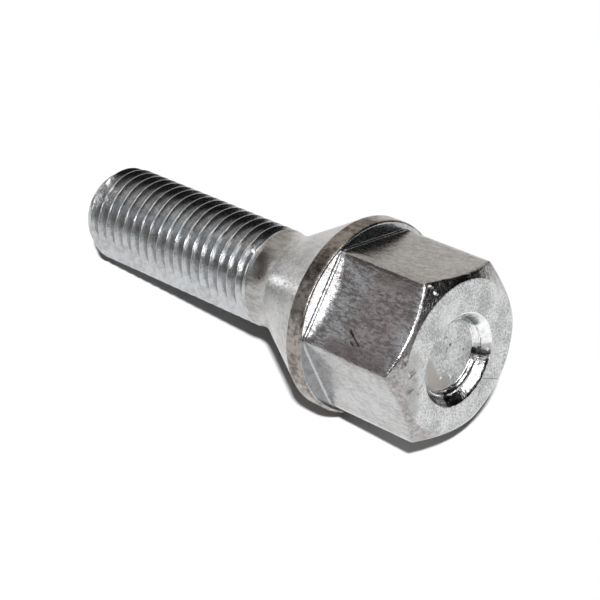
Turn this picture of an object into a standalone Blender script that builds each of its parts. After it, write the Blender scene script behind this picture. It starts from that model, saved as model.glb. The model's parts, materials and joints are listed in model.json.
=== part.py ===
"""Wheel bolt: M12 x 1.5 thread, conical seat, collar and 19 mm hexagon head, one steel forging."""

import math

import bmesh
import bpy
from mathutils import Matrix, Vector

# Driving dimensions, in metres. Heights run up the bolt's own axis from its threaded tip.
# Rolled and forged steel comes out a little under its nominal 12 mm and 19 mm.

# Shank and thread
THREAD_DIAMETER = 0.0118
THREAD_PITCH = 0.0015
THREAD_LENGTH = 0.0280
THREAD_RUNOUT_TURNS = 0.5
THREAD_START = 0.21
TIP_DIAMETER = 0.0101
TIP_CHAMFER_LENGTH = 0.0014
NECK_DIAMETER = 0.0114
NECK_LENGTH = 0.0012
NECK_SHOULDER_LENGTH = 0.0006

# Seat cone and collar
SEAT_ANGLE = math.radians(60.0)
SEAT_FILLET_RADIUS = 0.0063
COLLAR_DIAMETER = 0.0225
COLLAR_HEIGHT = 0.00195
COLLAR_BEVEL = 0.0003

# Hexagon head
ACROSS_FLATS = 0.0185
ACROSS_CORNERS = 0.0212
HEAD_HEIGHT = 0.01295
HEX_TURN = math.radians(17.65)
HEX_FOOT_RADIUS = 0.0008
HEX_FOOT_ANGLE = math.radians(30.0)
END_FACE_DIAMETER = 0.0172
HEAD_CHAMFER_ANGLE = math.radians(34.0)

# Round recess with a sloping wall, pressed into the end face a little off centre
RECESS_DIAMETER = 0.0107
RECESS_FLOOR_DIAMETER = 0.0078
RECESS_DEPTH = 0.00155
RECESS_OFF_CENTRE = 0.0005
RECESS_DIRECTION = math.radians(-26.0)

# How far a cutter runs past the surface that it cuts, and the head into the collar
OVERRUN = 0.0010
# Thread form of a metric screw, as shares of the pitch
CREST_SHARE = 1.0 / 8.0
DEPTH_SHARE = 0.6134
FLANK_ANGLE = math.radians(30.0)
# Facets round the axis. The seat's are wide enough for the bolt to lie still on one of them.
SEAT_STEPS = 32
STEPS = 48
STEP_ANGLE = math.tau / STEPS
ARC_STEPS = 5
MERGE_DISTANCE = 0.000001
# Edges that bend less than this are shaded smooth
SMOOTH_ANGLE = math.radians(25.0)

# Heights that follow from the driving dimensions
NECK_TOP = THREAD_LENGTH + NECK_LENGTH
CONE_FOOT = NECK_TOP + SEAT_FILLET_RADIUS * math.tan(SEAT_ANGLE / 4.0)
BELOW_COLLAR = CONE_FOOT + (COLLAR_DIAMETER - NECK_DIAMETER) / 2.0 / math.tan(SEAT_ANGLE / 2.0)
COLLAR_TOP = BELOW_COLLAR + COLLAR_HEIGHT
HEAD_TOP = COLLAR_TOP + HEAD_HEIGHT


def clear_scene():
    for obj in list(bpy.data.objects):
        bpy.data.objects.remove(obj, do_unlink=True)


def make_collection(name):
    collection = bpy.data.collections.new(name)
    bpy.context.scene.collection.children.link(collection)
    return collection


def zinc_plated_steel():
    material = bpy.data.materials.new("zinc_plated_steel")
    material.use_nodes = True
    shader = material.node_tree.nodes["Principled BSDF"]
    shader.inputs["Base Color"].default_value = (0.56, 0.56, 0.55, 1.0)
    shader.inputs["Metallic"].default_value = 1.0
    shader.inputs["Roughness"].default_value = 0.35
    return material


def add_object(name, mesh, collection, parent=None):
    obj = bpy.data.objects.new(name, mesh)
    obj.parent = parent
    collection.objects.link(obj)
    return obj


def arc(centre_radius, centre_height, radius, start, end):
    """Points (radius, height) on an arc of the turned outline."""
    points = []
    for i in range(ARC_STEPS + 1):
        angle = start + (end - start) * i / ARC_STEPS
        points.append((centre_radius + radius * math.cos(angle), centre_height + radius * math.sin(angle)))
    return points


def turned(name, outline, steps, collection, parent=None):
    """A closed solid of revolution from an outline that runs from its top to its bottom."""
    half_step = math.pi / steps
    mesh = bpy.data.meshes.new(name)
    points = [(r * math.cos(half_step), -r * math.sin(half_step), z) for r, z in outline]
    edges = [(i, i + 1) for i in range(len(points) - 1)]
    mesh.from_pydata(points, edges, [])
    obj = add_object(name, mesh, collection, parent)
    screw = obj.modifiers.new("Turn", "SCREW")
    screw.axis = "Z"
    screw.steps = steps
    screw.render_steps = steps
    screw.use_merge_vertices = True
    screw.merge_threshold = MERGE_DISTANCE
    return obj


def combine(obj, other, operation):
    boolean = obj.modifiers.new(other.name, "BOOLEAN")
    boolean.operation = operation
    boolean.object = other
    boolean.solver = "EXACT"


def seat_outline():
    """Collar, seat cone and filleted neck, down to where the thread starts."""
    collar = COLLAR_DIAMETER / 2.0
    neck = NECK_DIAMETER / 2.0
    points = [
        (0.0, COLLAR_TOP),
        (collar - COLLAR_BEVEL, COLLAR_TOP),
        (collar, COLLAR_TOP - COLLAR_BEVEL),
        (collar, BELOW_COLLAR),
    ]
    fillet_centre = neck + SEAT_FILLET_RADIUS
    points += arc(fillet_centre, NECK_TOP, SEAT_FILLET_RADIUS, math.pi - SEAT_ANGLE / 2.0, math.pi)
    points += [(neck, THREAD_LENGTH), (0.0, THREAD_LENGTH)]
    return points


def tip_outline():
    """Envelope that gives the threaded end its flat tip and chamfer."""
    tip = TIP_DIAMETER / 2.0
    slope = (THREAD_DIAMETER / 2.0 - tip) / TIP_CHAMFER_LENGTH
    outside = THREAD_DIAMETER / 2.0 + OVERRUN
    return [
        (0.0, THREAD_LENGTH + 2.0 * OVERRUN),
        (outside, THREAD_LENGTH + 2.0 * OVERRUN),
        (outside, (outside - tip) / slope),
        (tip, 0.0),
        (0.0, 0.0),
    ]


def head_outline():
    """Turned envelope of the head: chamfered end face and rounded corners."""
    face = END_FACE_DIAMETER / 2.0
    corner = ACROSS_CORNERS / 2.0
    chamfer_height = (corner - face) * math.tan(HEAD_CHAMFER_ANGLE)
    bottom = COLLAR_TOP - 2.0 * OVERRUN
    return [
        (0.0, HEAD_TOP),
        (face, HEAD_TOP),
        (corner, HEAD_TOP - chamfer_height),
        (corner, bottom),
        (0.0, bottom),
    ]


def recess_outline():
    """The punch that leaves the recess: flat floor and sloping wall."""
    lip = RECESS_DIAMETER / 2.0
    floor = RECESS_FLOOR_DIAMETER / 2.0
    slope = (lip - floor) / RECESS_DEPTH
    return [
        (0.0, HEAD_TOP + OVERRUN),
        (lip + slope * OVERRUN, HEAD_TOP + OVERRUN),
        (floor, HEAD_TOP - RECESS_DEPTH),
        (0.0, HEAD_TOP - RECESS_DEPTH),
    ]


def hexagon_die(collection, parent):
    """Hexagonal prism whose foot radius meets the collar's top at the foot angle."""
    foot = COLLAR_TOP - HEX_FOOT_RADIUS * (1.0 - math.cos(HEX_FOOT_ANGLE))
    sections = [(COLLAR_TOP - OVERRUN, HEX_FOOT_RADIUS)]
    for i in range(ARC_STEPS + 1):
        angle = math.pi / 2.0 * i / ARC_STEPS
        flare = HEX_FOOT_RADIUS * (1.0 - math.sin(angle))
        height = foot + HEX_FOOT_RADIUS * (1.0 - math.cos(angle))
        sections.append((height, flare))
    sections.append((HEAD_TOP + OVERRUN, 0.0))

    bm = bmesh.new()
    corner_share = 1.0 / math.cos(math.pi / 6.0)
    ring = bmesh.ops.create_circle(bm, segments=6, radius=1.0)["verts"]
    rim = list(bm.edges)
    bmesh.ops.rotate(bm, verts=ring, matrix=Matrix.Rotation(HEX_TURN - math.pi / 2.0, 3, "Z"))
    size = 1.0
    height = 0.0
    for level, (next_height, flare) in enumerate(sections):
        if level > 0:
            grown = bmesh.ops.extrude_edge_only(bm, edges=rim)["geom"]
            ring = [v for v in grown if isinstance(v, bmesh.types.BMVert)]
            rim = [e for e in grown if isinstance(e, bmesh.types.BMEdge) and all(v in ring for v in e.verts)]
            rim = [e for e in rim if len(e.link_faces) == 1]
        next_size = (ACROSS_FLATS / 2.0 + flare) * corner_share
        bmesh.ops.scale(bm, verts=ring, vec=(next_size / size, next_size / size, 1.0))
        bmesh.ops.translate(bm, verts=ring, vec=(0.0, 0.0, next_height - height))
        size = next_size
        height = next_height
    bmesh.ops.holes_fill(bm, edges=bm.edges, sides=6)
    bmesh.ops.recalc_face_normals(bm, faces=bm.faces)
    mesh = bpy.data.meshes.new("hexagon_die")
    bm.to_mesh(mesh)
    bm.free()
    return add_object("hexagon_die", mesh, collection, parent)


def thread_limits(height):
    """Least and greatest radius at a height: the grooves fade out, then a shoulder meets the neck."""
    crest = THREAD_DIAMETER / 2.0
    neck = NECK_DIAMETER / 2.0
    root = crest - DEPTH_SHARE * THREAD_PITCH
    fade = (height - THREAD_LENGTH) / (THREAD_RUNOUT_TURNS * THREAD_PITCH) + 1.0
    drop = (height - THREAD_LENGTH) / NECK_SHOULDER_LENGTH
    least = root + (crest - root) * min(max(fade, 0.0), 1.0)
    greatest = crest - (crest - neck) * max(drop, 0.0)
    return min(least, greatest), greatest


def threaded_shank(collection, parent):
    """Right-hand thread: one pitch of its outline swept up a helix, ended flat and chamfered."""
    crest = THREAD_DIAMETER / 2.0
    root = crest - DEPTH_SHARE * THREAD_PITCH
    crest_width = THREAD_PITCH * CREST_SHARE
    flank = (crest - root) * math.tan(FLANK_ANGLE)
    tooth = [
        (crest, 0.0),
        (crest, crest_width),
        (root, crest_width + flank),
        (root, THREAD_PITCH - flank),
        (crest, THREAD_PITCH),
    ]
    top = THREAD_LENGTH + 1.5 * NECK_SHOULDER_LENGTH
    first = THREAD_START * THREAD_PITCH - 2.0 * THREAD_PITCH
    steps = math.ceil((top - first) / THREAD_PITCH * STEPS)

    bm = bmesh.new()
    verts = [bm.verts.new((r, 0.0, first + z)) for r, z in tooth]
    edges = [bm.edges.new(pair) for pair in zip(verts, verts[1:])]
    bmesh.ops.rotate(bm, verts=verts, matrix=Matrix.Rotation(STEP_ANGLE / 2.0, 3, "Z"))
    rise = (0.0, 0.0, THREAD_PITCH / STEPS)
    axis = (0.0, 0.0, 1.0)
    bmesh.ops.spin(bm, geom=verts + edges, axis=axis, dvec=rise, angle=STEP_ANGLE * steps, steps=steps)
    bmesh.ops.remove_doubles(bm, verts=bm.verts, dist=MERGE_DISTANCE)
    for vert in bm.verts:
        radius = math.hypot(vert.co.x, vert.co.y)
        least, greatest = thread_limits(vert.co.z)
        wanted = min(max(radius, least), greatest)
        vert.co.x *= wanted / radius
        vert.co.y *= wanted / radius
    for level, facing in ((-OVERRUN, -1.0), (top, 1.0)):
        everything = list(bm.verts) + list(bm.edges) + list(bm.faces)
        plane = (0.0, 0.0, level)
        normal = (0.0, 0.0, facing)
        cut = bmesh.ops.bisect_plane(bm, geom=everything, plane_co=plane, plane_no=normal, clear_outer=True)
        rim = [e for e in cut["geom_cut"] if isinstance(e, bmesh.types.BMEdge)]
        bmesh.ops.contextual_create(bm, geom=rim)
    bmesh.ops.recalc_face_normals(bm, faces=bm.faces)
    mesh = bpy.data.meshes.new("threaded_shank")
    bm.to_mesh(mesh)
    bm.free()
    return add_object("threaded_shank", mesh, collection, parent)


def recess_punch(collection, parent):
    """The recess cutter, moved off the bolt's axis."""
    punch = turned("recess_punch", recess_outline(), STEPS, collection, parent)
    direction = Vector((math.cos(RECESS_DIRECTION), math.sin(RECESS_DIRECTION), 0.0))
    punch.location = direction * RECESS_OFF_CENTRE
    return punch


def finish(bolt):
    """Make the combined shape the bolt's own mesh: smooth round its axis, crisp at its edges."""
    graph = bpy.context.evaluated_depsgraph_get()
    mesh = bpy.data.meshes.new_from_object(bolt.evaluated_get(graph))
    mesh.shade_smooth()
    mesh.set_sharp_from_angle(angle=SMOOTH_ANGLE)
    mesh.materials.append(zinc_plated_steel())
    bolt.modifiers.clear()
    bolt.data = mesh


def lay_down(bolt):
    """Lay the bolt on its collar and thread, its box centred on the origin and resting on z = 0."""
    corners = [vert.co.copy() for vert in bolt.data.vertices]
    collar_low = max(corners, key=lambda c: c.x)
    shank = [c for c in corners if c.z < THREAD_LENGTH]
    tilt = min(math.atan2(collar_low.x - c.x, BELOW_COLLAR - c.z) for c in shank)
    bolt.rotation_euler = (0.0, math.pi / 2.0 - tilt, 0.0)
    turned_corners = [bolt.rotation_euler.to_matrix() @ c for c in corners]
    xs = [c.x for c in turned_corners]
    ys = [c.y for c in turned_corners]
    zs = [c.z for c in turned_corners]
    bolt.location = (-(min(xs) + max(xs)) / 2.0, -(min(ys) + max(ys)) / 2.0, -min(zs))


def wheel_bolt():
    parts = make_collection("wheel_bolt")
    cutters = make_collection("cutters")
    bolt = turned("wheel_bolt", seat_outline(), SEAT_STEPS, parts)
    head = turned("hexagon_head", head_outline(), STEPS, cutters, bolt)
    head.rotation_euler.z = STEP_ANGLE / 4.0
    combine(head, hexagon_die(cutters, bolt), "INTERSECT")
    combine(head, recess_punch(cutters, bolt), "DIFFERENCE")
    combine(bolt, head, "UNION")
    thread = threaded_shank(cutters, bolt)
    tip = turned("tip_envelope", tip_outline(), STEPS, cutters, bolt)
    tip.rotation_euler.z = STEP_ANGLE / 4.0
    combine(thread, tip, "INTERSECT")
    combine(bolt, thread, "UNION")
    weld = bolt.modifiers.new("Weld", "WELD")
    weld.merge_threshold = MERGE_DISTANCE
    for cutter in cutters.objects:
        cutter.hide_render = True
        cutter.display_type = "WIRE"
    finish(bolt)
    lay_down(bolt)


clear_scene()
wheel_bolt()
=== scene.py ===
# %% [markdown]
# A wheel bolt on a white table
#
# This lesson dresses one steel part: the bolt that holds a car's wheel to its hub. The real one is
# cold forged from a steel blank, its thread is rolled between two dies, and it is then plated with
# zinc. The frame loaded here is the measured model. Its bolt has the right sizes but flat facets,
# so a finer bolt of the same sizes is made in its place, with rounded edges and a worn skin.

# %% Load the measured model
import json
import math

import bmesh
import bpy
from mathutils import Matrix, Vector


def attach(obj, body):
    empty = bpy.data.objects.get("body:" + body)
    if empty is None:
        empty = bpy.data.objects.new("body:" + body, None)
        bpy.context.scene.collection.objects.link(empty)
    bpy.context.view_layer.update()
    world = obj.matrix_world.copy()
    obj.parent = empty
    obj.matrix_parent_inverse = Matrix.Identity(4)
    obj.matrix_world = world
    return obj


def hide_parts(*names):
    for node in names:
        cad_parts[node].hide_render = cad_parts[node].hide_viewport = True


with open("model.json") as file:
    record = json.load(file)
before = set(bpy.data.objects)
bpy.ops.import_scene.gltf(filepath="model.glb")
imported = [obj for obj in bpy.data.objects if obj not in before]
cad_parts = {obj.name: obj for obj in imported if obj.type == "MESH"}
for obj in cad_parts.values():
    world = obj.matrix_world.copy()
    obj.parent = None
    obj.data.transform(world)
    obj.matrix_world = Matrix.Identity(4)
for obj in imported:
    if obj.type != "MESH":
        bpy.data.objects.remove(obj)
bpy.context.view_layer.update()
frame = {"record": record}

MM = 0.001

# %% [markdown]
# The bolt's own axis
#
# The bolt lies on its collar and on its thread, so it leans a few degrees. It is much easier to
# shape when it stands on its tip with its head up, as in a lathe. The record says where the flat
# tip is and which way it faces, and one matrix then lays the finished bolt where it belongs.

# %% Find the tip and the lean
tip_face = next(mount for mount in frame["record"]["mounts"] if mount["name"] == "tip_face")
tip = Vector(tip_face["pos_m"])
towards_head = -Vector(tip_face["axis"])
lean = math.atan2(towards_head.x, towards_head.z)
lay_down = Matrix.Translation(tip) @ Matrix.Rotation(lean, 4, "Y")
print("lean from upright, in degrees:", round(math.degrees(lean), 2))

# %% [markdown]
# The turned blank
#
# Neck, seat cone, collar, head and recess are all round before the hexagon is pressed, so one
# outline is drawn and spun once round the axis. A modifier could turn it as well, but the spin
# operator gives plain vertices that the next steps can move. The outline has many short steps,
# because the pressed edges have to fall where there are points enough to round them.

# %% Sizes of the bolt, in mm
THREAD_LENGTH = 28.0
NECK_RADIUS = 5.7
NECK_TOP = 29.2
SEAT_FILLET = 6.3
# The model's round forms are facets, 32 or 48 of them, so these radii are taken at a facet's middle
COLLAR_RADIUS = 11.25 * math.cos(math.pi / 32) - 0.003
CORNER_RADIUS = 10.6 * math.cos(math.pi / 48)
COLLAR_FOOT = 40.501
COLLAR_TOP = 42.451
COLLAR_BEVEL = 0.3
COLLAR_EDGE = 0.15
HEAD_TOP = 55.401
FACE_RADIUS = 8.6
FACE_EDGE = 0.4
CHAMFER_ANGLE = math.radians(34)
CHAMFER_FOOT = HEAD_TOP - 1.349
RECESS_RADIUS = 5.35
RECESS_MOUTH = RECESS_RADIUS + 0.19
RECESS_LIP = 0.45
RECESS_FLOOR = 3.9
RECESS_FLOOR_HEIGHT = HEAD_TOP - 1.55
FLAT_DISTANCE = 9.25
FOOT_FILLET = 0.4
FOOT_HEIGHT = COLLAR_TOP - FOOT_FILLET * (1 - math.cos(math.radians(30)))
print("length of the bolt, in mm:", HEAD_TOP)

# %% Straight and rounded stretches of an outline
def straight(start, end, pieces):
    """Points (radius, height) from start up to, but not including, end."""
    return [tuple(a + (b - a) * i / pieces for a, b in zip(start, end)) for i in range(pieces)]


def rounded(centre, radius, first, last, pieces):
    """Points on an arc, angles in degrees from straight outwards."""
    angles = [math.radians(first + (last - first) * i / pieces) for i in range(pieces + 1)]
    return [(centre[0] + radius * math.cos(a), centre[1] + radius * math.sin(a)) for a in angles]


# %% Draw the outline from the neck up
seat = [(0.0, THREAD_LENGTH)]
seat += straight((NECK_RADIUS, THREAD_LENGTH), (NECK_RADIUS, NECK_TOP), 6)
seat += rounded((NECK_RADIUS + SEAT_FILLET, NECK_TOP), SEAT_FILLET, 180, 150, 14)
seat += straight(seat[-1], (COLLAR_RADIUS - 0.05, COLLAR_FOOT - 0.08), 24)[1:]
seat += rounded((COLLAR_RADIUS - COLLAR_EDGE, COLLAR_FOOT), COLLAR_EDGE, -30, 0, 3)
seat += straight((COLLAR_RADIUS, COLLAR_FOOT + 0.1), (COLLAR_RADIUS, COLLAR_TOP - COLLAR_BEVEL), 6)
seat += rounded((COLLAR_RADIUS - COLLAR_BEVEL, COLLAR_TOP - COLLAR_BEVEL), COLLAR_BEVEL, 0, 90, 6)
COLLAR_RIM = seat[-1][0]
seat += straight((COLLAR_RIM, COLLAR_TOP), (CORNER_RADIUS, COLLAR_TOP), 16)[1:]
print("points on the seat's outline:", len(seat))

# %% Draw the head
foot_arc = rounded((0, FOOT_HEIGHT + FOOT_FILLET), FOOT_FILLET, -60, 0, 10)
head = [(CORNER_RADIUS, height) for _, height in foot_arc]
head += straight(head[-1], (CORNER_RADIUS, CHAMFER_FOOT), 40)[1:]
head += straight((CORNER_RADIUS, CHAMFER_FOOT), (FACE_RADIUS + 0.12, HEAD_TOP - 0.08), 26)
head += rounded((FACE_RADIUS - 0.12, HEAD_TOP - FACE_EDGE), FACE_EDGE, 56, 90, 5)
head += straight(head[-1], (RECESS_MOUTH, HEAD_TOP), 14)[1:]
print("points on the head's outline:", len(head))

# %% Draw the recess
# The punch left a groove at the foot of the wall, and the floor inside it has a low rim
groove = (
    (4.47, 0.95), (4.44, 1.06), (4.33, 1.09), (4.19, 1.24), (4.05, 1.39),
    (4.01, 1.50), (3.94, 1.56), (3.88, 1.53), (3.80, 1.51), (3.70, 1.54),
)
head += rounded((RECESS_MOUTH, HEAD_TOP - RECESS_LIP), RECESS_LIP, 90, 138, 6)
head += straight(head[-1], (4.50, HEAD_TOP - 0.90), 8)[1:]
head += [(radius, HEAD_TOP - depth) for radius, depth in groove]
floor_middle = (0.0, RECESS_FLOOR_HEIGHT)
head += straight((3.6, RECESS_FLOOR_HEIGHT), floor_middle, 14)[1:] + [floor_middle]
print("points with the recess:", len(head))

# %% Spin the outline once round the axis
BLANK_STEPS = 240
MERGE_DISTANCE = 0.0005 * MM


def turned_blank(outline, steps):
    """A closed solid of revolution, made by spinning its outline."""
    blank = bmesh.new()
    points = [blank.verts.new((radius * MM, 0.0, height * MM)) for radius, height in outline]
    lines = [blank.edges.new(pair) for pair in zip(points, points[1:])]
    profile = points + lines
    bmesh.ops.spin(blank, geom=profile, axis=(0, 0, 1), angle=math.tau, steps=steps, use_merge=True)
    bmesh.ops.remove_doubles(blank, verts=blank.verts, dist=MERGE_DISTANCE)
    bmesh.ops.recalc_face_normals(blank, faces=blank.faces)
    return blank


blank = turned_blank(seat + head, BLANK_STEPS)
print("faces in the blank:", len(blank.faces))

# %% [markdown]
# Pressing the hexagon
#
# A forging die squeezes the round head into six flats. Here every point of the head moves in to
# the die's wall, as the steel does. A Boolean with a six-sided prism would cut hard edges. Moving
# the points lets a soft minimum round them, so that they catch the light as on the real head. The
# points are first gathered towards the six corners, where the shape bends most.

# %% Gather the points at the corners
HEX_TURN = math.radians(17.65)
GATHER = 0.65


def polar(point):
    """Radius and height in mm, and angle round the axis."""
    return math.hypot(point.x, point.y) / MM, math.atan2(point.y, point.x), point.z / MM


def place(vert, radius, angle):
    """Move a vertex to a radius in mm and an angle, at its own height."""
    vert.co.x = radius * math.cos(angle) * MM
    vert.co.y = radius * math.sin(angle) * MM


for vert in blank.verts:
    radius, angle, height = polar(vert.co)
    from_corner = angle - HEX_TURN
    place(vert, radius, HEX_TURN + from_corner - GATHER * math.sin(6 * from_corner) / 6)
print("points gathered at the corners:", len(blank.verts))

# %% Press the six flats
EDGE_ROUNDING = 0.35


def soft_minimum(a, b, width):
    """The lesser of two lengths, blended over a width where they are close."""
    share = min(max(0.5 + 0.5 * (b - a) / width, 0.0), 1.0)
    return b * (1 - share) + a * share - width * share * (1 - share)


def die_wall(angle, flare):
    """Distance from the axis to the hexagonal die in one direction."""
    from_flat = (angle - HEX_TURN) % (math.tau / 6) - math.tau / 12
    return (FLAT_DISTANCE + flare) / math.cos(from_flat)


def foot_flare(height):
    """How far the fillet at the foot of a flat stands out from the flat."""
    rise = min(max((height - FOOT_HEIGHT) / FOOT_FILLET, 0.0), 1.0)
    return FOOT_FILLET * (1 - math.sqrt(1 - (1 - rise) ** 2))


for vert in blank.verts:
    radius, angle, height = polar(vert.co)
    if height < COLLAR_TOP - 0.001 or radius > COLLAR_RIM - 0.001:
        continue
    foot = soft_minimum(CORNER_RADIUS, die_wall(angle, foot_flare(COLLAR_TOP)), EDGE_ROUNDING)
    if height < COLLAR_TOP + 0.001:
        share = (COLLAR_RIM - radius) / (COLLAR_RIM - CORNER_RADIUS)
        place(vert, COLLAR_RIM + (foot - COLLAR_RIM) * share, angle)
    elif radius > FACE_RADIUS - 1.0:
        place(vert, soft_minimum(radius, die_wall(angle, foot_flare(height)), EDGE_ROUNDING), angle)
print("across the flats, in mm:", 2 * FLAT_DISTANCE)

# %% [markdown]
# The recess sits a little to one side
#
# The punch that leaves the recess in the end face is never quite in the middle. The rings of the
# recess slide half a millimetre sideways, and the end face round them takes up the difference.

# %% Slide the recess sideways
ASIDE_ANGLE = math.radians(-26)
STILL_RADIUS = 8.2
aside = Vector((math.cos(ASIDE_ANGLE), math.sin(ASIDE_ANGLE), 0.0)) * 0.5 * MM
for vert in blank.verts:
    radius, angle, height = polar(vert.co)
    if height > RECESS_FLOOR_HEIGHT - 0.1:
        share = (STILL_RADIUS - radius) / (STILL_RADIUS - RECESS_MOUTH)
        vert.co += aside * min(max(share, 0.0), 1.0)
print("recess moved, in mm:", round(aside.length / MM, 2))

# %% [markdown]
# Knocks on the head
#
# The bolt has been thrown into a box with others, so the rim of its end face has small dents, and
# one side of it is chewed. A dent is made as in sculpting: the points near its middle are pushed
# in, and the push fades with distance. A push outwards makes the small burrs that show as bright dots.

# %% Dent the rim of the end face
def dent(bm, middle, width, push):
    """Push the points round a middle, all in mm, with a push that fades to nothing."""
    middle = Vector(middle) * MM
    for vert in bm.verts:
        share = 1.0 - (vert.co - middle).length / (width * MM)
        if share > 0.0:
            vert.co += Vector(push) * MM * share * share * (3 - 2 * share)


dents = (
    ((-2.30, -7.60, 55.40), 0.95, 0.22), ((-1.00, -7.10, 55.40), 0.70, 0.16),
    ((-0.38, -8.15, 55.35), 0.90, 0.24), ((0.85, -6.70, 55.40), 0.60, 0.12),
    ((2.60, -8.10, 55.35), 0.50, 0.14), ((7.30, -4.40, 55.38), 0.45, 0.14),
)
for middle, width, depth in dents:
    dent(blank, middle, width, (0.0, 0.0, -depth))
print("dents in the rim:", len(dents))

# %% Raise burrs on the chamfer
BURR_HEIGHT = 0.13
BURR_RISE = 13.6
burrs = (
    ((-4.13, -7.98, 55.13), 0.34), ((-3.00, -8.34, 55.21), 0.34), ((-9.65, -2.62, 54.45), 0.40),
    ((-8.91, -2.49, 54.95), 0.36), ((-9.25, 1.02, 54.30), 0.32), ((-9.05, 0.11, 54.95), 0.34),
    ((-8.75, 2.20, 55.00), 0.34), ((-9.60, -0.90, 54.40), 0.36),
)
for middle, width in burrs:
    outwards = Vector((middle[0], middle[1], BURR_RISE)).normalized()
    dent(blank, middle, width, outwards * BURR_HEIGHT)
print("burrs on the chamfer:", len(burrs))

# %% [markdown]
# The rolled thread
#
# Thread dies roll a ridge that climbs 1.5 mm in each turn. One tooth is drawn with its crest and
# root rounded, and the spin operator sweeps it up a helix, because it can rise while it turns.
# One turn is swept and then repeated, and two planes trim the ends. A stack of separate rings would
# look alike from far away, but its grooves would lead nowhere, and the crest lines in the photograph
# are slanted.

# %% Draw one tooth
THREAD_RADIUS = 5.9 * math.cos(math.pi / 48) - 0.003
THREAD_DEPTH = 0.92
FLANK_ANGLE = math.radians(30)
HALF_CREST = 0.06
CREST_EDGE = 0.065
ROOT_EDGE = 0.13
PITCH = 1.5
THREAD_STEPS = 96
THREAD_TOP = 28.9


def rolled_tooth():
    """Points (radius, height) over one pitch, from one crest to the next."""
    crest = THREAD_RADIUS
    root = crest - THREAD_DEPTH
    groove = HALF_CREST + THREAD_DEPTH * math.tan(FLANK_ANGLE)
    points = [(crest, 0.0)]
    reach = CREST_EDGE * math.tan(FLANK_ANGLE)
    points += rounded((crest - CREST_EDGE, HALF_CREST - reach), CREST_EDGE, 0, 60, 3)
    reach = ROOT_EDGE * math.tan(FLANK_ANGLE)
    valley = rounded((root + ROOT_EDGE, groove + reach), ROOT_EDGE, 240, 180, 3)
    # Two more points keep the flank flat right up to its rounded ends
    for share in (0.07, 0.93):
        points.append(tuple(a + (b - a) * share for a, b in zip(points[4], valley[0])))
    points += valley
    mirrored = [(radius, PITCH - height) for radius, height in reversed(points)]
    return points + mirrored


tooth = rolled_tooth()
print("points on one tooth:", len(tooth))

# %% Sweep one turn up the helix and repeat it
def swept_thread(tooth, first, last):
    """One turn of the helix, copied up the bolt until it passes a height."""
    thread = bmesh.new()
    points = [thread.verts.new((radius * MM, 0.0, (first + height) * MM)) for radius, height in tooth]
    lines = [thread.edges.new(pair) for pair in zip(points, points[1:])]
    rise = (0.0, 0.0, PITCH * MM / THREAD_STEPS)
    turn = dict(axis=(0, 0, 1), dvec=rise, angle=math.tau, steps=THREAD_STEPS)
    bmesh.ops.spin(thread, geom=points + lines, **turn)
    one_turn = list(thread.verts) + list(thread.edges) + list(thread.faces)
    for number in range(1, math.ceil((last - first) / PITCH)):
        copy = bmesh.ops.duplicate(thread, geom=one_turn)["geom"]
        lifted = [part for part in copy if isinstance(part, bmesh.types.BMVert)]
        bmesh.ops.translate(thread, verts=lifted, vec=(0.0, 0.0, number * PITCH * MM))
    bmesh.ops.remove_doubles(thread, verts=thread.verts, dist=MERGE_DISTANCE)
    return thread


HELIX_START = 0.21 * PITCH + PITCH / 16 - 2 * PITCH
thread = swept_thread(tooth, HELIX_START, THREAD_TOP + PITCH)
print("faces in the thread:", len(thread.faces))

# %% Fade the groove at both ends
TIP_RADIUS = 5.03
TIP_CHAMFER = 1.4
TIP_ROUNDING = 0.12
SHOULDER = 0.6
RUNOUT = 0.5 * PITCH


def thread_limits(height):
    """Least and greatest radius: the groove fades near the neck, and the tip is chamfered."""
    root = THREAD_RADIUS - THREAD_DEPTH
    past_end = height - THREAD_LENGTH
    fade = min(max(past_end / RUNOUT + 1.0, 0.0), 1.0)
    shoulder = THREAD_RADIUS - (THREAD_RADIUS - NECK_RADIUS) * max(past_end, 0.0) / SHOULDER
    chamfer = TIP_RADIUS + height * (THREAD_RADIUS - TIP_RADIUS) / TIP_CHAMFER
    greatest = min(shoulder, soft_minimum(chamfer, THREAD_RADIUS + 0.03, TIP_ROUNDING))
    return min(root + THREAD_DEPTH * fade, greatest), greatest


for vert in thread.verts:
    radius, angle, height = polar(vert.co)
    least, greatest = thread_limits(height)
    place(vert, min(max(radius, least), greatest), angle)
print("groove faded over, in mm:", RUNOUT)

# %% Cut the thread's ends flat
for height, facing in ((0.0, -1), (THREAD_TOP, 1)):
    everything = list(thread.verts) + list(thread.edges) + list(thread.faces)
    plane = dict(plane_co=(0, 0, height * MM), plane_no=(0, 0, facing), clear_outer=True)
    cut = bmesh.ops.bisect_plane(thread, geom=everything, **plane)
    rim = [part for part in cut["geom_cut"] if isinstance(part, bmesh.types.BMEdge)]
    bmesh.ops.contextual_create(thread, geom=rim)
bmesh.ops.recalc_face_normals(thread, faces=thread.faces)
print("faces after both cuts:", len(thread.faces))

# %% Bruise the first turns of the thread
def knock_thread(degrees, height, width, push):
    """Knock the thread inwards at an angle round the axis, or outwards if the push is negative."""
    inwards = -Vector((math.cos(math.radians(degrees)), math.sin(math.radians(degrees)), 0.0))
    middle = -inwards * THREAD_RADIUS + Vector((0.0, 0.0, height))
    dent(thread, middle, width, inwards * push)


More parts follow.
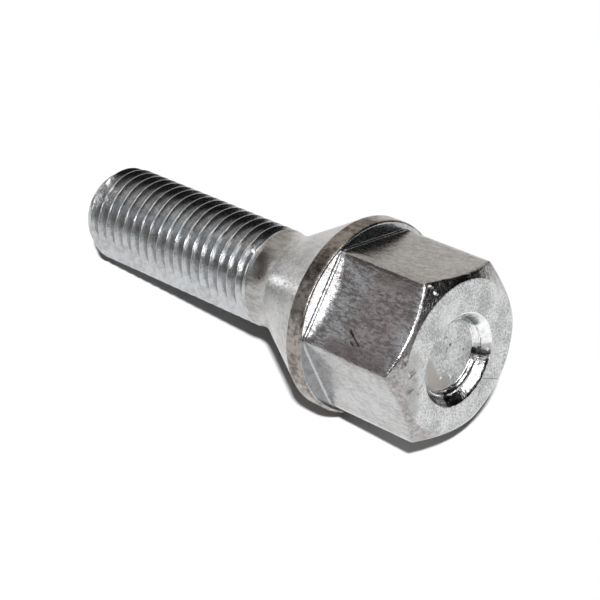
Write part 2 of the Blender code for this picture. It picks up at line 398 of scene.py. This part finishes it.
for degrees, height, width in (
    (213, 0.9, 0.9), (221, 2.2, 0.8), (226, 1.2, 0.7), (208, 2.9, 0.6), (218, 3.9, 0.6),
    (192, 10.6, 0.6), (236, 5.2, 0.4), (205, 13.7, 0.4), (230, 18.1, 0.4), (201, 22.5, 0.5),
):
    knock_thread(degrees, height, width, 0.22)
SMALL_KNOCKS = 16
for knock in range(SMALL_KNOCKS):
    degrees, height = 203 + knock * 37 % 29, 0.4 + knock * 0.61 % 2.9
    knock_thread(degrees, height, 0.36, 0.18 if knock % 2 else -0.05)
print("small knocks near the tip:", SMALL_KNOCKS)

# %% [markdown]
# One solid piece
#
# The thread and the turned part are one piece of steel, so a Boolean union joins them and the
# result is baked into one mesh. The shading is smooth all over, with a crisp line only where two
# faces meet at a steep angle, such as round the flat tip.

# %% Join the thread to the neck
def mesh_object(name, bm):
    """Put a bmesh into the scene as an object."""
    mesh = bpy.data.meshes.new(name)
    bm.to_mesh(mesh)
    bm.free()
    piece = bpy.data.objects.new(name, mesh)
    bpy.context.scene.collection.objects.link(piece)
    return piece


turned_part = mesh_object("turned_part", blank)
rolled_part = mesh_object("rolled_part", thread)
union = turned_part.modifiers.new("Join", "BOOLEAN")
union.operation = "UNION"
union.solver = "EXACT"
union.object = rolled_part
graph = bpy.context.evaluated_depsgraph_get()
skin = bpy.data.meshes.new_from_object(turned_part.evaluated_get(graph))
for used in (turned_part, rolled_part):
    bpy.data.objects.remove(used, do_unlink=True)
bolt = bpy.data.objects.new("forged_bolt", skin)
bpy.context.scene.collection.objects.link(bolt)
print("triangles in the bolt:", sum(len(face.vertices) - 2 for face in skin.polygons))

# %% [markdown]
# Zinc that has been handled
#
# Zinc plating is a thin bright metal. Where a die pressed it, it is smooth, where the blank was
# sheared, it is grainy, and where a wrench gripped it, it is streaked along the head. Each of
# these is the same metal, so one helper builds it, and only its grain, streaks and gloss differ.
# The patterns are made from noise in the bolt's own directions, because real marks follow the way
# a part was made.

# %% Helpers for nodes, the bolt's own directions and noise
def add(tree, kind, **settings):
    """A new node with its settings."""
    node = tree.nodes.new(kind)
    for name, value in settings.items():
        setattr(node, name, value)
    return node


def bolt_directions(tree):
    """Coordinates in metres from the tip, with z up the bolt's axis."""
    where = add(tree, "ShaderNodeTexCoord")
    stand_up = add(tree, "ShaderNodeMapping", vector_type="TEXTURE")
    stand_up.inputs["Location"].default_value = tip
    stand_up.inputs["Rotation"].default_value = (0.0, lean, 0.0)
    tree.links.new(where.outputs["Object"], stand_up.inputs["Vector"])
    return stand_up.outputs["Vector"]


def noise(tree, vector, stretch, detail=3.0, roughness=0.55):
    """Noise with its own number of cells per metre along each direction."""
    scaled = add(tree, "ShaderNodeVectorMath", operation="MULTIPLY")
    scaled.inputs[1].default_value = stretch
    tree.links.new(vector, scaled.inputs[0])
    texture = add(tree, "ShaderNodeTexNoise")
    texture.inputs["Scale"].default_value = 1.0
    texture.inputs["Detail"].default_value = detail
    texture.inputs["Roughness"].default_value = roughness
    tree.links.new(scaled.outputs[0], texture.inputs["Vector"])
    return texture.outputs[0]


def remap(tree, value, from_low, from_high, to_low, to_high):
    """Turn one range of values into another."""
    ranged = add(tree, "ShaderNodeMapRange")
    ends = {"From Min": from_low, "From Max": from_high, "To Min": to_low, "To Max": to_high}
    for socket, number in ends.items():
        ranged.inputs[socket].default_value = number
    tree.links.new(value, ranged.inputs["Value"])
    return ranged.outputs[0]


print("helpers ready")

# %% Blend colours and raise bumps
def blended(tree, share, first, second):
    """Mix two colours. Each is a socket or three numbers."""
    mix = add(tree, "ShaderNodeMix", data_type="RGBA")
    tree.links.new(share, mix.inputs[0])
    for slot, colour in ((6, first), (7, second)):
        if isinstance(colour, tuple):
            mix.inputs[slot].default_value = (*colour, 1.0)
        else:
            tree.links.new(colour, mix.inputs[slot])
    return mix.outputs[2]


def raised(tree, height, tall, under=None):
    """A bump of a height in mm, on top of another bump."""
    bump = add(tree, "ShaderNodeBump")
    bump.inputs["Distance"].default_value = tall * MM
    tree.links.new(height, bump.inputs["Height"])
    if under is not None:
        tree.links.new(under, bump.inputs["Normal"])
    return bump.outputs[0]


def sums(tree, operation, first, second):
    """One sum of two sockets, or of a socket and a number."""
    node = add(tree, "ShaderNodeMath", operation=operation)
    tree.links.new(first, node.inputs[0])
    if isinstance(second, float):
        node.inputs[1].default_value = second
    else:
        tree.links.new(second, node.inputs[1])
    return node.outputs[0]


print("more helpers ready")

# %% [markdown]
# Scratches, stains and painted shade
#
# Noise spreads the same wear everywhere, but a real bolt has a few marks that can be pointed at: a
# scratch on a flat, a stain on the neck. The same marks paint shade and reflections on the wall of
# the recess. A picture could hold them, but a short line in space does it too. The shader measures
# how far each point lies from the line, and noise frays the edge. Each mark has a start, an end and
# a width in mm on the standing bolt.

# %% Marks at their own places
def mark(tree, vector, start, end, width, wobble):
    """1 along a line from start to end, in mm, and 0 away from it. A wobble frays its edge."""
    first = Vector(start) * MM
    line = Vector(end) * MM - first
    away = add(tree, "ShaderNodeVectorMath", operation="SUBTRACT")
    away.inputs[1].default_value = first
    tree.links.new(vector, away.inputs[0])
    distance = away.outputs[0]
    if line.length > 0:
        share = add(tree, "ShaderNodeVectorMath", operation="DOT_PRODUCT")
        share.inputs[1].default_value = line / line.length_squared
        tree.links.new(away.outputs[0], share.inputs[0])
        nearest = add(tree, "ShaderNodeVectorMath", operation="SCALE")
        nearest.inputs[0].default_value = line
        tree.links.new(remap(tree, share.outputs["Value"], 0.0, 1.0, 0.0, 1.0), nearest.inputs["Scale"])
        across = add(tree, "ShaderNodeVectorMath", operation="SUBTRACT")
        tree.links.new(away.outputs[0], across.inputs[0])
        tree.links.new(nearest.outputs[0], across.inputs[1])
        distance = across.outputs[0]
    length = add(tree, "ShaderNodeVectorMath", operation="LENGTH")
    tree.links.new(distance, length.inputs[0])
    half = 0.5 * width * MM
    frayed = sums(tree, "ADD", length.outputs["Value"], remap(tree, wobble, 0.3, 0.7, -half, half))
    return remap(tree, frayed, half, width * MM, 1.0, 0.0)


print("marks ready")

# %% One zinc finish with its own grain, streaks and gloss
CHEWED_HEIGHT = 0.22


def zinc(name, pale, dull, gloss, waves, streaks, grains, blotch, marks=(), tints=(), chewed=()):
    """Zinc plated steel: blotchy colour, uneven gloss, and a skin of waves, streaks and grains.

    The gloss is a least and a greatest roughness, the heights are in mm, and the blotch is in
    cells per metre. Tints recolour the pale metal, and marks lie on top of everything.
    """
    material = bpy.data.materials.new(name)
    material.use_nodes = True
    tree = material.node_tree
    shader = tree.nodes["Principled BSDF"]
    shader.inputs["Metallic"].default_value = 1.0
    vector = bolt_directions(tree)

    cloud = noise(tree, vector, blotch, 6.0, 0.68)
    broad = noise(tree, vector, (420, 420, 300), 2.0)
    drawn = noise(tree, vector, (8000, 8000, 700), 4.0)
    speckle = noise(tree, vector, (4200, 4200, 4200), 4.0)
    swell = noise(tree, vector, (1000, 1000, 650), 3.0)
    uneven = sums(tree, "ADD", cloud, remap(tree, broad, 0.3, 0.7, -0.08, 0.08))
    for start, end, width, mark_colour in tints:
        pale = blended(tree, mark(tree, vector, start, end, width, cloud), pale, mark_colour)
    colour = blended(tree, remap(tree, uneven, 0.42, 0.60, 0.0, 1.0), pale, dull)
    rubbed = remap(tree, drawn, 0.35, 0.7, gloss[0], gloss[1])
    skin_bump = raised(tree, swell, waves)
    skin_bump = raised(tree, drawn, streaks, skin_bump)
    skin_bump = raised(tree, speckle, grains, skin_bump)
    for start, end, width in chewed:
        spot = mark(tree, vector, start, end, width, cloud)
        skin_bump = raised(tree, sums(tree, "MULTIPLY", spot, speckle), CHEWED_HEIGHT, skin_bump)
    # Marks paint wear and stains, and on the recess wall painted shade and painted reflections
    for start, end, width, mark_colour in marks:
        spot = mark(tree, vector, start, end, width, cloud)
        colour = blended(tree, spot, colour, mark_colour)
    tree.links.new(colour, shader.inputs["Base Color"])
    tree.links.new(rubbed, shader.inputs["Roughness"])
    tree.links.new(skin_bump, shader.inputs["Normal"])
    return material


print("finish helper ready")

# %% Marks on the thread, the seat and the flats
BROWN = (0.30, 0.27, 0.25)
# A near-black for specks and scratches, and for painted shade on the recess wall
DARK_WEAR_AND_SHADE = (0.06, 0.055, 0.05)
thread_marks = [((1.0, -5.2, 0.3), (1.6, -5.2, 0.3), 0.8, (0.42, 0.33, 0.25))]
thread_chewed = [
    ((-4.76, -2.32, 0.5), (-4.06, -4.21, 1.4), 1.0),
    ((-4.60, -3.62, 2.6), (-4.20, -4.06, 3.5), 0.55),
]
seat_marks = [
    ((-4.3, -3.9, 29.4), (-3.6, -4.6, 30.3), 1.3, (0.24, 0.225, 0.215)),
    ((-3.25, -4.80, 30.1), (-3.20, -4.85, 30.4), 0.16, DARK_WEAR_AND_SHADE),
    ((-5.90, -6.90, 36.8), (-5.75, -6.80, 36.5), 0.18, DARK_WEAR_AND_SHADE),
    ((-7.37, -6.72, 38.4), (-7.37, -6.72, 38.4), 0.10, DARK_WEAR_AND_SHADE),
]
flat_marks = [
    ((-4.65, -8.28, 47.7), (-4.35, -8.55, 48.3), 0.17, DARK_WEAR_AND_SHADE),
    ((-4.35, -8.55, 48.3), (-4.05, -8.80, 48.9), 0.11, DARK_WEAR_AND_SHADE),
    ((-4.05, -8.80, 48.9), (-3.80, -9.05, 49.5), 0.14, DARK_WEAR_AND_SHADE),
    ((-3.85, -9.03, 48.3), (-3.65, -9.18, 48.8), 0.12, DARK_WEAR_AND_SHADE),
    ((-5.05, -8.05, 46.2), (-4.70, -8.25, 47.6), 0.08, BROWN),
]
flat_tints = [
    ((-8.6, -4.7, 50.8), (-3.2, -9.6, 50.2), 3.4, (0.47, 0.415, 0.405)),
    ((-3.1, -9.7, 46.0), (-3.1, -9.7, 53.0), 0.9, (0.34, 0.30, 0.295)),
    ((-9.4, -4.0, 48.5), (-9.4, -4.0, 53.0), 0.7, (0.33, 0.29, 0.285)),
]
print("marks on the scuffed flat:", len(flat_marks))

# %% Marks on the end face, and painted shade in its recess
end_marks = [
    ((2.6, -2.9, 53.85), (3.3, -1.4, 53.85), 1.0, (0.42, 0.39, 0.365)),
    ((0.2, -3.3, 53.85), (1.8, -3.0, 53.85), 0.9, (0.43, 0.405, 0.38)),
    ((-0.71, 0.29, 53.85), (-0.70, 0.20, 53.85), 0.19, (0.06, 0.06, 0.06)),
    ((-0.60, -0.25, 53.85), (-0.15, -0.45, 53.85), 0.14, (0.25, 0.25, 0.25)),
    ((0.9, 2.2, 53.85), (1.0, 2.3, 53.85), 0.16, (0.26, 0.26, 0.26)),
    ((2.56, -1.60, 53.85), (2.60, -1.64, 53.85), 0.20, (0.90, 0.89, 0.88)),
    ((2.95, -0.20, 53.85), (3.40, 0.00, 53.85), 0.14, (0.85, 0.85, 0.85)),
    ((-2.00, -0.51, 53.85), (-1.90, -0.30, 53.85), 0.18, (0.34, 0.34, 0.34)),
    ((-1.00, 1.51, 53.85), (-0.90, 1.55, 53.85), 0.14, (0.36, 0.36, 0.36)),
    ((1.73, 1.34, 53.85), (1.80, 1.36, 53.85), 0.16, (0.30, 0.29, 0.29)),
    ((-1.95, -7.90, 55.38), (-1.80, -7.90, 55.38), 0.30, (0.90, 0.90, 0.89)),
    ((-2.40, -7.95, 55.36), (-1.40, -8.20, 55.36), 0.08, (0.20, 0.19, 0.19)),
    ((4.72, 3.32, 55.40), (6.07, 5.76, 55.40), 0.06, (0.25, 0.25, 0.25)),
    ((5.80, 2.90, 55.40), (6.50, 2.45, 55.40), 0.06, (0.22, 0.22, 0.22)),
    ((3.04, 6.30, 55.40), (3.30, 7.40, 55.40), 0.06, (0.28, 0.28, 0.28)),
    ((1.50, 6.40, 55.40), (1.55, 7.30, 55.40), 0.06, (0.30, 0.30, 0.30)),
    ((-1.65, -7.00, 55.40), (-1.45, -7.95, 55.38), 0.13, (0.20, 0.19, 0.19)),
    ((0.15, -7.50, 55.40), (0.25, -8.30, 55.38), 0.12, (0.22, 0.21, 0.21)),
    ((0.30, -6.20, 55.40), (1.20, -6.90, 55.40), 0.10, (0.22, 0.21, 0.21)),
]
end_tints = [
    ((-3.2, -7.4, 55.4), (2.5, -7.9, 55.4), 1.3, (0.50, 0.50, 0.49)),
]
# Painted shade and painted reflections on the recess wall, where it mirrors dark parts of the room,
# with thin dark lines and lines round the lip
wall_shade_and_marks = [
    # Painted shade: the dark band, grey at its edge, where the wall mirrors a dark corner of the room
    ((1.18, 3.92, 54.0), (1.35, 4.90, 55.25), 0.45, (0.45, 0.45, 0.44)),
    ((1.77, 3.61, 54.0), (1.95, 4.13, 54.55), 0.60, (0.035, 0.035, 0.04)),
    ((1.95, 4.13, 54.55), (2.17, 4.79, 55.30), 0.45, (0.10, 0.10, 0.10)),
    ((2.94, 4.46, 55.30), (4.68, 2.97, 55.30), 0.24, (0.06, 0.06, 0.06)),
    ((4.68, 2.97, 55.30), (5.63, 0.88, 55.30), 0.24, (0.06, 0.06, 0.06)),
    ((5.70, -0.22, 55.25), (5.00, -2.84, 55.25), 0.35, (0.30, 0.30, 0.30)),
    ((5.00, -2.84, 55.25), (3.07, -4.77, 55.25), 0.35, (0.30, 0.30, 0.30)),
    ((3.07, -4.77, 55.25), (1.36, -5.39, 55.25), 0.30, (0.30, 0.30, 0.30)),
    ((2.79, 3.12, 54.0), (3.79, 2.12, 54.0), 0.13, DARK_WEAR_AND_SHADE),
    ((3.79, 2.12, 54.0), (4.39, 0.84, 54.0), 0.13, DARK_WEAR_AND_SHADE),
    ((4.39, 0.84, 54.0), (4.47, -0.93, 54.0), 0.13, DARK_WEAR_AND_SHADE),
    ((2.97, 3.38, 54.3), (4.05, 2.30, 54.3), 0.10, DARK_WEAR_AND_SHADE),
    ((4.05, 2.30, 54.3), (4.70, 0.92, 54.3), 0.10, DARK_WEAR_AND_SHADE),
    # Painted shade: a black spot low on the wall
    ((4.82, -1.64, 54.5), (4.80, -1.90, 54.6), 0.50, (0.02, 0.02, 0.02)),
    ((1.41, 4.28, 54.55), (0.29, 4.38, 54.55), 0.06, DARK_WEAR_AND_SHADE),
    # Painted reflection: a dark grey-green patch high on the wall
    ((-3.60, 2.30, 54.4), (-2.20, 3.60, 54.4), 0.75, (0.20, 0.23, 0.22)),
    ((-3.90, 1.60, 54.1), (-3.75, 1.90, 54.2), 0.25, DARK_WEAR_AND_SHADE),
]
print("marks on the end face and in the recess:", len(end_marks) + len(wall_shade_and_marks))

# %% Make the eight finishes
finishes = [
    zinc(
        "zinc_on_rolled_thread", (0.54, 0.56, 0.575), (0.41, 0.405, 0.41), (0.14, 0.26),
        waves=0.012, streaks=0.003, grains=0.014, blotch=(1500, 1500, 1500),
        marks=thread_marks, chewed=thread_chewed,
    ),
    zinc(
        "zinc_on_seat", (0.43, 0.43, 0.42), (0.30, 0.285, 0.275), (0.18, 0.34),
        waves=0.022, streaks=0.014, grains=0.008, blotch=(2200, 2200, 700), marks=seat_marks,
    ),
    zinc(
        "zinc_on_collar", (0.36, 0.335, 0.31), (0.14, 0.12, 0.11), (0.18, 0.34),
        waves=0.040, streaks=0.006, grains=0.016, blotch=(1500, 1500, 1500),
    ),
    zinc(
        "zinc_on_flats", (0.50, 0.51, 0.515), (0.36, 0.35, 0.34), (0.16, 0.30),
        waves=0.060, streaks=0.010, grains=0.022, blotch=(3000, 3000, 1600),
    ),
    zinc(
        "zinc_on_scuffed_flat", (0.55, 0.56, 0.565), (0.22, 0.20, 0.195), (0.12, 0.30),
        waves=0.060, streaks=0.014, grains=0.024, blotch=(3600, 3600, 1500),
        marks=flat_marks, tints=flat_tints,
    ),
    zinc(
        "zinc_on_chamfer", (0.47, 0.465, 0.46), (0.29, 0.27, 0.265), (0.12, 0.26),
        waves=0.060, streaks=0.004, grains=0.024, blotch=(2200, 2200, 2200),
    ),
    zinc(
        "zinc_on_end_face", (0.73, 0.74, 0.735), (0.36, 0.365, 0.365), (0.28, 0.46),
        waves=0.050, streaks=0.003, grains=0.080, blotch=(4600, 4600, 4600),
        marks=end_marks, tints=end_tints,
    ),
    zinc(
        "zinc_in_recess_wall", (0.93, 0.94, 0.94), (0.72, 0.72, 0.72), (0.08, 0.18),
        waves=0.110, streaks=0.004, grains=0.030, blotch=(2600, 2600, 2600), marks=wall_shade_and_marks,
    ),
]
print("finishes:", [finish.name for finish in finishes])

# %% [markdown]
# Which finish goes where
#
# The bolt is one mesh, so its finishes are material slots, and each face takes one by its place:
# its height, its distance from the axis, and on the head its angle. That is simpler than separate
# pieces, which would need seams that the real bolt doesn't have. The small curves at the feet of
# the flats take the bright finish of the thread, because the die polished them.

# %% Find the finish of a face
THREAD, SEAT, COLLAR, FLATS, SCUFFED_FLAT, CHAMFER, END_FACE, RECESS_WALL = range(8)
SCUFFED_FROM, SCUFFED_TO = -162.35, -102.35


def region(centre):
    """Which finish a face of the standing bolt takes."""
    radius, angle, height = polar(centre)
    if height < THREAD_LENGTH + 0.3:
        return THREAD
    if height < COLLAR_FOOT:
        return SEAT
    if height < COLLAR_TOP - 0.02 and radius > COLLAR_RIM:
        return COLLAR
    if height < FOOT_HEIGHT + 0.1:
        return THREAD
    from_recess = (centre - aside).to_2d().length / MM
    if RECESS_FLOOR + 0.03 < from_recess < RECESS_RADIUS + 0.08:
        return RECESS_WALL
    if height > HEAD_TOP - 0.05 or radius < FACE_RADIUS - 0.15:
        return END_FACE
    turned = FACE_RADIUS + (HEAD_TOP - height) / math.tan(CHAMFER_ANGLE)
    if turned < die_wall(angle, 0.0):
        return CHAMFER
    return SCUFFED_FLAT if SCUFFED_FROM < math.degrees(angle) < SCUFFED_TO else FLATS


for finish in finishes:
    skin.materials.append(finish)
for polygon in skin.polygons:
    polygon.material_index = region(polygon.center)
print("faces on the end face:", sum(p.material_index == END_FACE for p in skin.polygons))

# %% Shade the bolt and lay it down
SHARP_ANGLE = math.radians(40)
skin.shade_smooth()
skin.set_sharp_from_angle(angle=SHARP_ANGLE)
skin.transform(lay_down)
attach(bolt, "root")
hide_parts("wheel_bolt")
print("lowest point of the bolt, in mm:", round(min(v.co.z for v in skin.vertices) / MM, 4))

# %% [markdown]
# The white table
#
# The photograph has a plain white surface that keeps a crisp dark shadow under the bolt. A large
# plane with a nearly white colour does the same. It only has to reach past the edge of the view.

# %% Lay the table
table_mesh = bmesh.new()
bmesh.ops.create_grid(table_mesh, x_segments=1, y_segments=1, size=2.0)
table = mesh_object("white_table", table_mesh)
paper = bpy.data.materials.new("white_paper")
paper.use_nodes = True
sheet = paper.node_tree.nodes["Principled BSDF"]
sheet.inputs["Base Color"].default_value = (0.80, 0.80, 0.80, 1.0)
sheet.inputs["Roughness"].default_value = 0.9
sheet.inputs["Specular IOR Level"].default_value = 0.0
table.data.materials.append(paper)
print("table laid")

# %% [markdown]
# The room that the metal reflects
#
# Bright metal shows its surroundings more than its own colour. The photograph was taken with one
# lamp above the camera, in a room that is grey near the horizon and nearly black behind the head
# on the right. The world paints that room by direction, and the camera sees plain white instead.
# The room is only mirrored in the metal. The lamp alone lights the table, so its shadow stays dark,
# and the metal sees the lamp as the last patch, small and bright, with a soft glow round it.

# %% Paint the room by direction
def direction(azimuth, height):
    """A unit vector: azimuth from the front (-y) towards +x, height above the horizon, in degrees."""
    a, h = math.radians(azimuth), math.radians(height)
    return Vector((math.sin(a) * math.cos(h), -math.cos(a) * math.cos(h), math.sin(h)))


room = bpy.data.worlds.new("grey_room")
bpy.context.scene.world = room
room.use_nodes = True
tree = room.node_tree
tree.nodes.clear()
looking = add(tree, "ShaderNodeTexCoord").outputs["Generated"]


def patch(tree, below, centre, wide, narrow, colour):
    """Blend a soft round patch of one colour over the room."""
    dot = add(tree, "ShaderNodeVectorMath", operation="DOT_PRODUCT")
    dot.inputs[1].default_value = direction(*centre)
    tree.links.new(looking, dot.inputs[0])
    ranged = add(tree, "ShaderNodeMapRange", interpolation_type="SMOOTHSTEP")
    ranged.inputs["From Min"].default_value = math.cos(math.radians(wide))
    ranged.inputs["From Max"].default_value = math.cos(math.radians(narrow))
    tree.links.new(dot.outputs["Value"], ranged.inputs["Value"])
    blend = add(tree, "ShaderNodeMix", data_type="RGBA")
    tree.links.new(ranged.outputs[0], blend.inputs[0])
    if isinstance(below, tuple):
        blend.inputs[6].default_value = below
    else:
        tree.links.new(below, blend.inputs[6])
    blend.inputs[7].default_value = (*colour, 1.0)
    return blend.outputs[2]


print("room ready to paint")

# %% Hang the walls, windows and lamp in the room
# Each patch has its direction, the angles at which it ends and is full, and its colour
walls = (0.33, 0.325, 0.32, 1.0)
for centre, wide, narrow, colour in (
    # A grey ceiling and a pale wall behind on the left
    ((0, 90), 34, 16, (0.55, 0.53, 0.51)),
    ((-140, 18), 52, 34, (0.67, 0.63, 0.59)),
    # A window high on the left, and the darker things below it
    ((-75, 66), 19, 10, (1.05, 0.98, 0.94)),
    ((-72, 40), 17, 10, (0.12, 0.10, 0.09)),
    ((-62, 14), 13, 5, (0.22, 0.18, 0.17)),
    ((-49, 27), 11, 5, (0.62, 0.62, 0.64)),
    # A cooler window in front and a bright strip at the left
    ((-29, 45), 17, 9, (0.88, 0.96, 1.04)),
    ((-90, 0), 9, 4, (1.8, 1.8, 1.8)),
    # Dark corners on the right and behind, and the dark space under the camera
    ((106, 23), 24, 15, (0.045, 0.045, 0.05)),
    ((146, 19), 27, 22, (0.006, 0.006, 0.006)),
    ((160, 41), 26, 19, (0.01, 0.01, 0.01)),
    ((42, 1), 20, 13, (0.02, 0.02, 0.02)),
    # A bright window high on the right, then the lamp's glow and the lamp itself
    ((86, 55), 18, 10, (4.0, 4.0, 4.0)),
    ((43, 42), 24, 14, (1.6, 1.6, 1.6)),
    ((43, 35), 9, 5, (19.0, 19.0, 19.0)),
):
    walls = patch(tree, walls, centre, wide, narrow, colour)
print("nodes in the painted room:", len(tree.nodes))

# %% Show white to the camera and the room to the metal
rays = add(tree, "ShaderNodeLightPath")
seen = add(tree, "ShaderNodeMix", data_type="RGBA")
seen.inputs[7].default_value = (1.0, 1.0, 1.0, 1.0)
tree.links.new(rays.outputs["Is Camera Ray"], seen.inputs[0])
tree.links.new(walls, seen.inputs[6])
backdrop = add(tree, "ShaderNodeBackground")
tree.links.new(seen.outputs[2], backdrop.inputs["Color"])
output = add(tree, "ShaderNodeOutputWorld")
tree.links.new(backdrop.outputs[0], output.inputs["Surface"])
room.cycles_visibility.diffuse = False
print("nodes in the room:", len(tree.nodes))

# %% [markdown]
# The lamp
#
# The shadow in the photograph lies just under the lower edge of the bolt and is crisp, so its lamp
# is small and stands a little above the camera. A sun lamp is even over the whole table, and its
# angle sets how soft the shadow's edge is.

# %% Hang the lamp above the camera
LAMP_DIRECTION = direction(44, 52)
lamp_data = bpy.data.lights.new("lamp_above_camera", "SUN")
lamp_data.energy = 5.06
lamp_data.angle = math.radians(4)
lamp = bpy.data.objects.new("lamp_above_camera", lamp_data)
bpy.context.scene.collection.objects.link(lamp)
lamp.rotation_euler = LAMP_DIRECTION.to_track_quat("Z", "Y").to_euler()
lamp.visible_glossy = False
print("lamp direction:", [round(v, 3) for v in LAMP_DIRECTION])

# %% [markdown]
# The camera
#
# The camera was found by laying the measured bolt over the photograph until every edge met. It is
# a long lens about 23 cm from the bolt, looking down at 37 degrees over the head.

# %% Set up the camera
lens = bpy.data.cameras.new("camera")
lens.lens = 118.2185
lens.sensor_width = 36.0
lens.clip_start = 0.01
camera = bpy.data.objects.new("camera", lens)
camera.location = (0.128671, -0.128915, 0.143960)
camera.rotation_euler = [math.radians(v) for v in (52.9013, -0.0140, 44.1654)]
bpy.context.scene.collection.objects.link(camera)
bpy.context.scene.camera = camera
bpy.context.scene.view_settings.view_transform = "Standard"
print("camera distance, in mm:", round(camera.location.length / MM))
